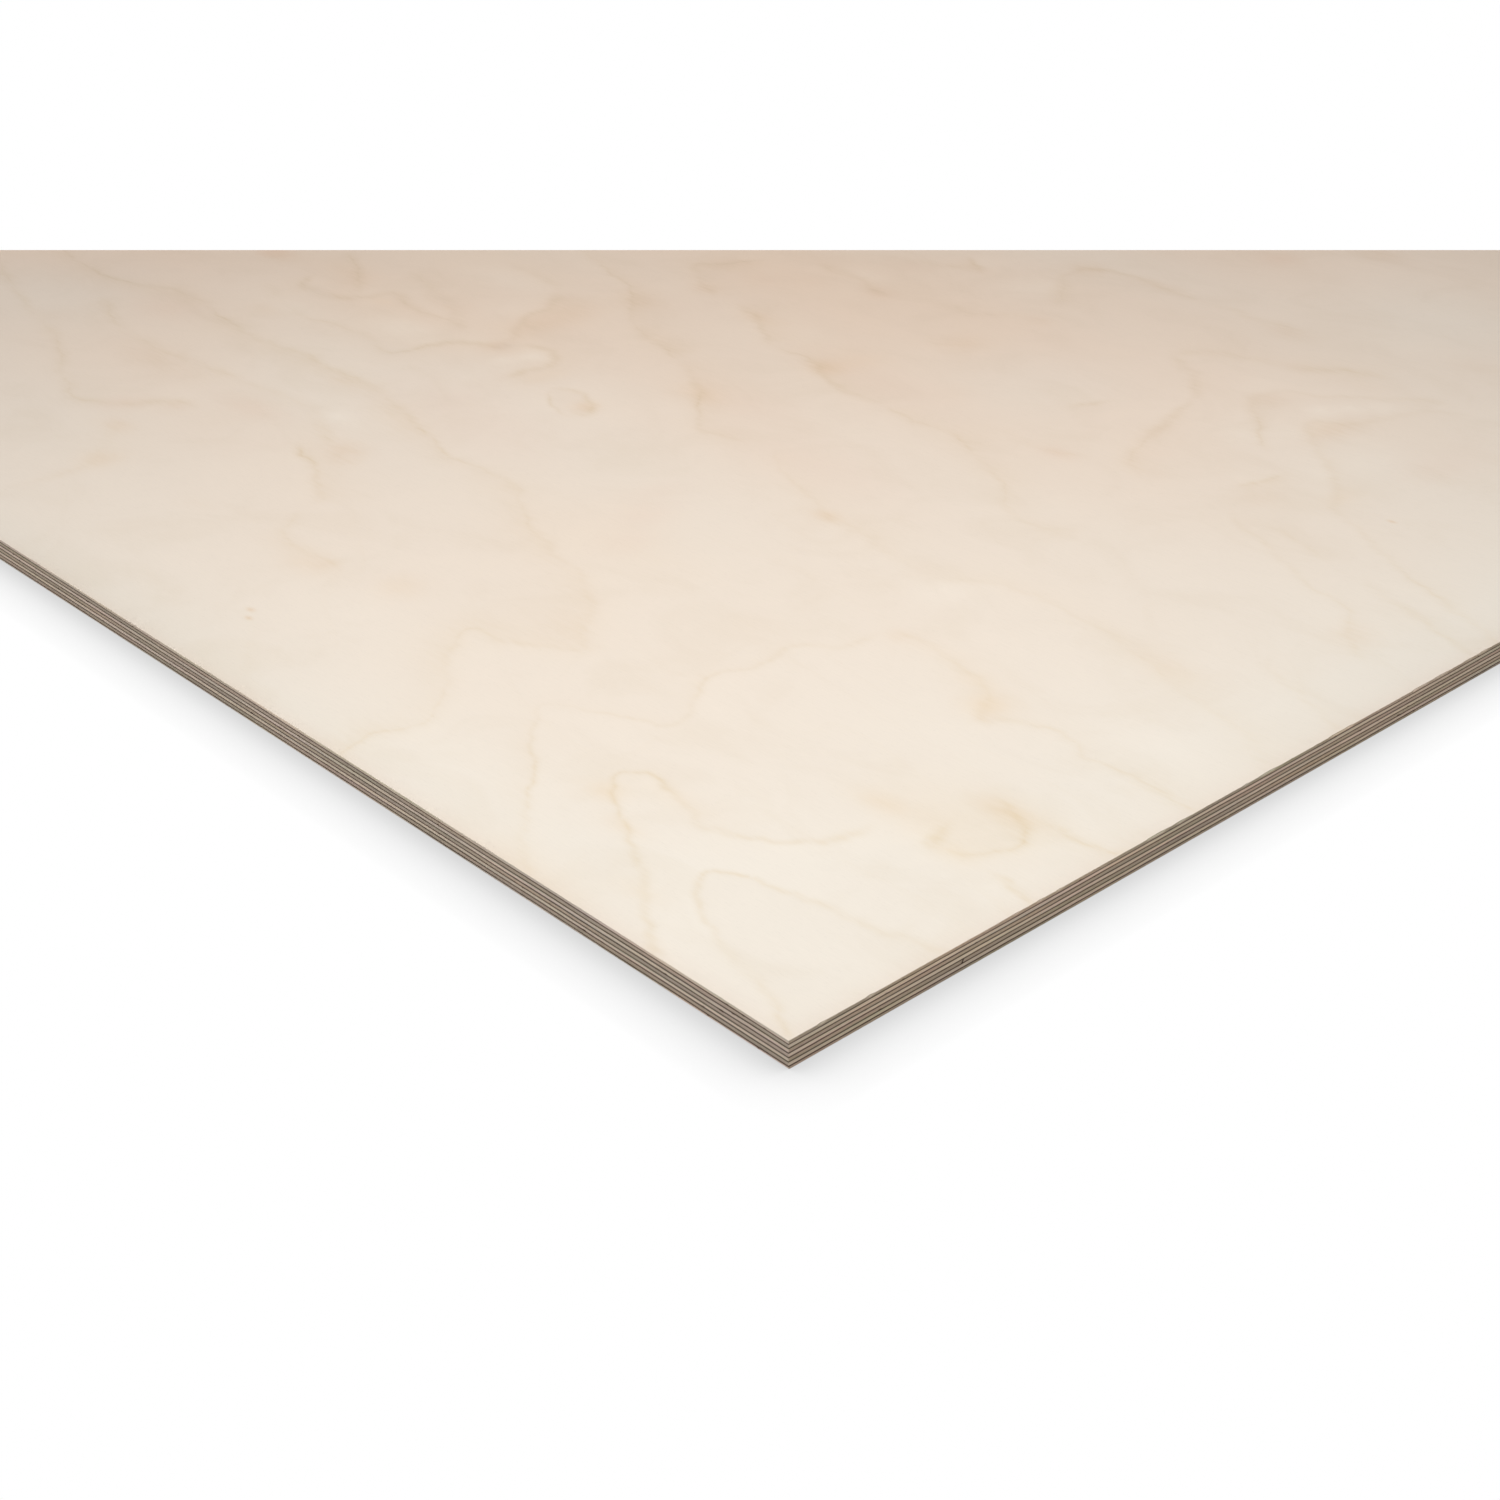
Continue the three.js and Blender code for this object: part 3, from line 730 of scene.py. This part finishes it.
def sawn_veneer_tree():
    """One veneer: a rectangle filled above and below, with a sawn wall round it. Its -Y and +Y
    sides can lean, as the two sides of an open joint do."""
    tree = bpy.data.node_groups.new("sawn_veneer", "GeometryNodeTree")
    for kind, names in (
        ("Float", ("Length", "Width", "Thickness", "Bottom", "Middle")),
        ("Float", ("Lean of -Y side", "Lean of +Y side", "Spacing")),
        ("Int", ("Rows",)),
        ("Float", ("Raggedness", "Eased", "Seed")),
        ("Material", ("Edge", "Flat faces", "Joint sides")),
    ):
        for name in names:
            tree.interface.new_socket(name, in_out="INPUT", socket_type="NodeSocket" + kind)
    tree.interface.new_socket("Veneer", in_out="OUTPUT", socket_type="NodeSocketGeometry")
    given = node(tree, "NodeGroupInput").outputs

    centre = node(tree, "CombineXYZ", {"Y": given["Middle"]})
    sizes = {"Width": given["Length"], "Height": given["Width"]}
    outline = node(tree, "GeometryNodeCurvePrimitiveQuadrilateral", sizes)
    outline = node(tree, "GeometryNodeSetPosition", {"Geometry": outline, "Offset": centre})
    side = node(tree, "Math", (node(tree, "GeometryNodeInputIndex"), 2.0), operation="MODULO")
    run = node(tree, "Mix", {"Factor": side, "A": given["Length"], "B": given["Width"]}, data_type="FLOAT")
    cuts = node(tree, "Math", (run, given["Spacing"]), operation="DIVIDE")
    outline = node(tree, "GeometryNodeSubdivideCurve", {"Curve": outline, "Cuts": cuts})
    drop = node(tree, "Math", (given["Thickness"], -1.0), operation="MULTIPLY")
    top_row = node(tree, "CombineXYZ", {"Y": drop})
    profile = node(tree, "GeometryNodeCurvePrimitiveLine", {"Start": top_row, "End": (0.0, 0.0, 0.0)})
    profile = node(tree, "GeometryNodeResampleCurve", {"Curve": profile, "Count": given["Rows"]})
    wall = node(tree, "GeometryNodeCurveToMesh", {"Curve": outline, "Profile Curve": profile})
    cap = node(tree, "GeometryNodeFillCurve", {"Curve": outline})
    lift = node(tree, "CombineXYZ", {"Z": given["Thickness"]})
    top = node(tree, "GeometryNodeSetPosition", {"Geometry": cap, "Offset": lift})
    bottom = node(tree, "GeometryNodeFlipFaces", {"Mesh": cap})
    whole = node(tree, "GeometryNodeJoinGeometry", {"Geometry": [wall, top, bottom]})
    whole = node(tree, "GeometryNodeMergeByDistance", {"Geometry": whole, "Distance": TOUCHING})

    # Every point is on the wall, so each is pushed in from the sides that it lies on.
    here = node(tree, "GeometryNodeInputPosition")
    here = node(tree, "VectorMath", (here, centre), operation="SUBTRACT")
    split = node(tree, "SeparateXYZ", {"Vector": here}).outputs
    teeth = {"W": given["Seed"], "Scale": 260.0, "Detail": 3.0, "Roughness": 0.6}
    seeded = node(tree, "TexNoise", {"Vector": here, **teeth}, noise_dimensions="4D")
    lowest = node(tree, "Math", (split["Z"], TOUCHING), operation="LESS_THAN")
    eased = node(tree, "Math", (lowest, given["Eased"]), operation="MULTIPLY")
    ragged = node(tree, "Math", (seeded, given["Raggedness"]), operation="MULTIPLY")
    pushes = {"X": ragged, "Y": node(tree, "Math", (ragged, eased), operation="ADD")}
    inward = {}
    for axis, size in (("X", "Length"), ("Y", "Width")):
        half = node(tree, "Math", (given[size], 0.5, -TOUCHING), operation="MULTIPLY_ADD")
        out = node(tree, "Math", (split[axis],), operation="ABSOLUTE")
        on_side = node(tree, "Math", (out, half), operation="GREATER_THAN")
        sign = node(tree, "Math", (split[axis],), operation="SIGN")
        inward[axis] = node(tree, "Math", (sign, -1.0), operation="MULTIPLY")
        for factor in (on_side, pushes[axis]):
            inward[axis] = node(tree, "Math", (inward[axis], factor), operation="MULTIPLY")
    height = node(tree, "Math", (split["Z"], given["Thickness"]), operation="DIVIDE")
    height = node(tree, "Math", (height, -0.5), operation="ADD")
    far_side = node(tree, "Math", (split["Y"], 0.0), operation="GREATER_THAN")
    lean = {"Factor": far_side, "A": given["Lean of -Y side"], "B": given["Lean of +Y side"]}
    lean = node(tree, "Mix", lean, data_type="FLOAT")
    leaning = node(tree, "Math", (lean, height, inward["Y"]), operation="MULTIPLY_ADD")
    shift = node(tree, "CombineXYZ", {"X": inward["X"], "Y": leaning, "Z": given["Bottom"]})
    whole = node(tree, "GeometryNodeSetPosition", {"Geometry": whole, "Offset": shift})

    # The two leaning sides of the open joint are coated with the resin that was pressed into it.
    normal = node(tree, "GeometryNodeInputNormal")
    normal = node(tree, "VectorMath", (normal,), operation="ABSOLUTE")
    normal = node(tree, "SeparateXYZ", {"Vector": normal}).outputs
    level = node(tree, "Math", (normal["Z"], 0.9), operation="GREATER_THAN")
    sideways = node(tree, "Math", (normal["Y"], 0.5), operation="GREATER_THAN")
    in_joint = node(tree, "Math", (lean, TOUCHING), operation="GREATER_THAN")
    in_joint = node(tree, "Math", (in_joint, sideways), operation="MULTIPLY")
    whole = node(tree, "GeometryNodeRealizeInstances", {"Geometry": whole})
    whole = node(tree, "GeometryNodeSetMaterial", {"Geometry": whole, "Material": given["Edge"]})
    for faces, material in ((level, "Flat faces"), (in_joint, "Joint sides")):
        coat = {"Geometry": whole, "Selection": faces, "Material": given[material]}
        whole = node(tree, "GeometryNodeSetMaterial", coat)
    node(tree, "NodeGroupOutput", (whole,))
    return tree


def grown(name, tree, values):
    """A plain mesh object made by a node tree from these named values."""
    maker = stand(name + "_maker", bpy.data.meshes.new(name + "_maker"))
    modifier = maker.modifiers.new("maker", "NODES")
    modifier.node_group = tree
    for item in tree.interface.items_tree:
        if item.item_type == "SOCKET" and item.in_out == "INPUT" and item.name in values:
            modifier[item.identifier] = values[item.name]
    shape = maker.evaluated_get(bpy.context.evaluated_depsgraph_get())
    mesh = bpy.data.meshes.new_from_object(shape)
    mesh.name = name
    slots = np.zeros(len(mesh.polygons), np.int32)
    mesh.polygons.foreach_get("material_index", slots)
    used, slots = np.unique(slots, return_inverse=True)
    materials = [mesh.materials[int(i)] for i in used]
    mesh.materials.clear()
    for material in materials:
        mesh.materials.append(material)
    mesh.polygons.foreach_set("material_index", slots.astype(np.int32))
    mesh.set_sharp_from_angle(angle=0.6)
    bpy.data.objects.remove(maker)
    return stand(name, mesh)


TOUCHING = 0.01 * MM  # closer than this, two points or a point and a side are one
veneer_tree = sawn_veneer_tree()
JOINT_LEAN = 0.6 * MM
EASED_ARRIS = 0.45 * MM  # how far the lower arris of the long sides goes in, where it has split off
CORE_PLIES = [
    # node, its edge material, lean of its -Y side, lean of its +Y side
    ("cross_veneer_2", cross_grain_edge, 0.0, 0.0),
    ("long_veneer_3", long_grain_edge, 0.0, 0.0),
    ("cross_veneer_4", cross_grain_edge, 0.0, 0.0),
    ("long_veneer_5", long_grain_edge, JOINT_LEAN, 0.0),
    ("long_veneer_5_strip", long_grain_edge, 0.0, JOINT_LEAN),
    ("cross_veneer_6", cross_grain_edge, 0.0, 0.0),
    ("back_veneer", long_grain_edge, 0.0, 0.0),
]
for seed, (name, edge, near_lean, far_lean) in enumerate(CORE_PLIES):
    box_low, box_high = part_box(name)
    near = box_low[1] + abs(near_lean) / 2
    far = box_high[1] - abs(far_lean) / 2
    ply = grown(name + "_sawn", veneer_tree, {
        "Length": box_high[0] - box_low[0],
        "Width": far - near,
        "Thickness": box_high[2] - box_low[2],
        "Bottom": box_low[2],
        "Middle": (near + far) / 2,
        "Lean of -Y side": near_lean,
        "Lean of +Y side": far_lean,
        "Spacing": 2.0 * MM,
        "Rows": 4,
        "Raggedness": 0.12 * MM,
        "Eased": EASED_ARRIS if name == "back_veneer" else 0.0,
        "Seed": 3.0 * seed,
        "Edge": edge,
        "Flat faces": sanded_birch if name == "back_veneer" else edge,
        "Joint sides": resin,
    })
    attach(ply, "root")
    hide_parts(name)

# ---- Floor and light ----
# A white studio table under three soft lamps. The floor is a grey-white that throws light back
# on the sawn edges, and it shows as plain white with only the soft shadow beside the sheet.

SHADOW_REACH = 0.0215
FLOOR_REACH = 7.0
FLOOR_LEVEL = -0.05 * MM

floor_mesh = bpy.data.meshes.new("studio_floor")
corners = [(FLOOR_REACH * x, FLOOR_REACH * y, FLOOR_LEVEL) for x, y in ((-1, -1), (1, -1), (1, 1), (-1, 1))]
floor_mesh.from_pydata(corners, [], [(0, 1, 2, 3)])
floor = stand("studio_floor", floor_mesh)


def seen_directly(tree):
    """1 for camera, mirror and glass rays, and 0 for the rays that carry light."""
    ray = node(tree, "LightPath").outputs
    seen = node(tree, "Math", (ray["Is Camera Ray"], ray["Is Glossy Ray"]), operation="MAXIMUM")
    return node(tree, "Math", (seen, ray["Is Transmission Ray"]), operation="MAXIMUM")


white = (1.0, 1.0, 1.0, 1.0)
white_floor = bpy.data.materials.new("studio_white")
white_floor.use_nodes = True
tree = white_floor.node_tree
tree.nodes.remove(tree.nodes["Principled BSDF"])
bounce = node(tree, "BsdfDiffuse", {"Color": (0.72, 0.72, 0.72, 1.0)})
near_dark = node(tree, "AmbientOcclusion", {"Distance": SHADOW_REACH}, samples=16)
near_dark = node(tree, "Math", (near_dark.outputs["AO"], 2.9), operation="POWER")
near_dark = node(tree, "Math", (near_dark, 0.36, 0.64), operation="MULTIPLY_ADD")
glow = node(tree, "Emission", {"Color": white, "Strength": near_dark})
shown = node(tree, "MixShader", (seen_directly(tree), bounce, glow))
node(tree, tree.nodes["Material Output"], {"Surface": shown})
floor_mesh.materials.append(white_floor)

world = bpy.data.worlds.new("studio")
bpy.context.scene.world = world
world.use_nodes = True
tree = world.node_tree
level = node(tree, "Mix", {"Factor": seen_directly(tree), "A": 0.38, "B": 1.0}, data_type="FLOAT")
node(tree, tree.nodes["Background"], {"Color": white, "Strength": level})


def soft_lamp(name, place, aim, width, depth, level):
    """A soft box that lights a white card at its aim, held square to it, to this level."""
    place, aim = Vector(place), Vector(aim)
    data = bpy.data.lights.new(name, "AREA")
    data.shape = "RECTANGLE"
    data.size, data.size_y = width, depth
    data.energy = level * np.pi**2 * (aim - place).length_squared
    lamp = stand(name, data)
    lamp.location = place
    lamp.rotation_euler = (aim - place).to_track_quat("-Z", "Y").to_euler()


soft_lamp("corner_lamp", (1.18, -0.55, 0.82), (1.18, -0.55, 0.0), 0.35, 0.35, 0.67)
soft_lamp("far_lamp", (-0.85, 0.05, 1.10), (-0.85, 0.05, 0.0), 0.8, 1.2, 0.42)
soft_lamp("side_lamp", (1.05, -1.55, 0.40), (1.05, -0.62, 0.0), 0.6, 0.4, 0.06)
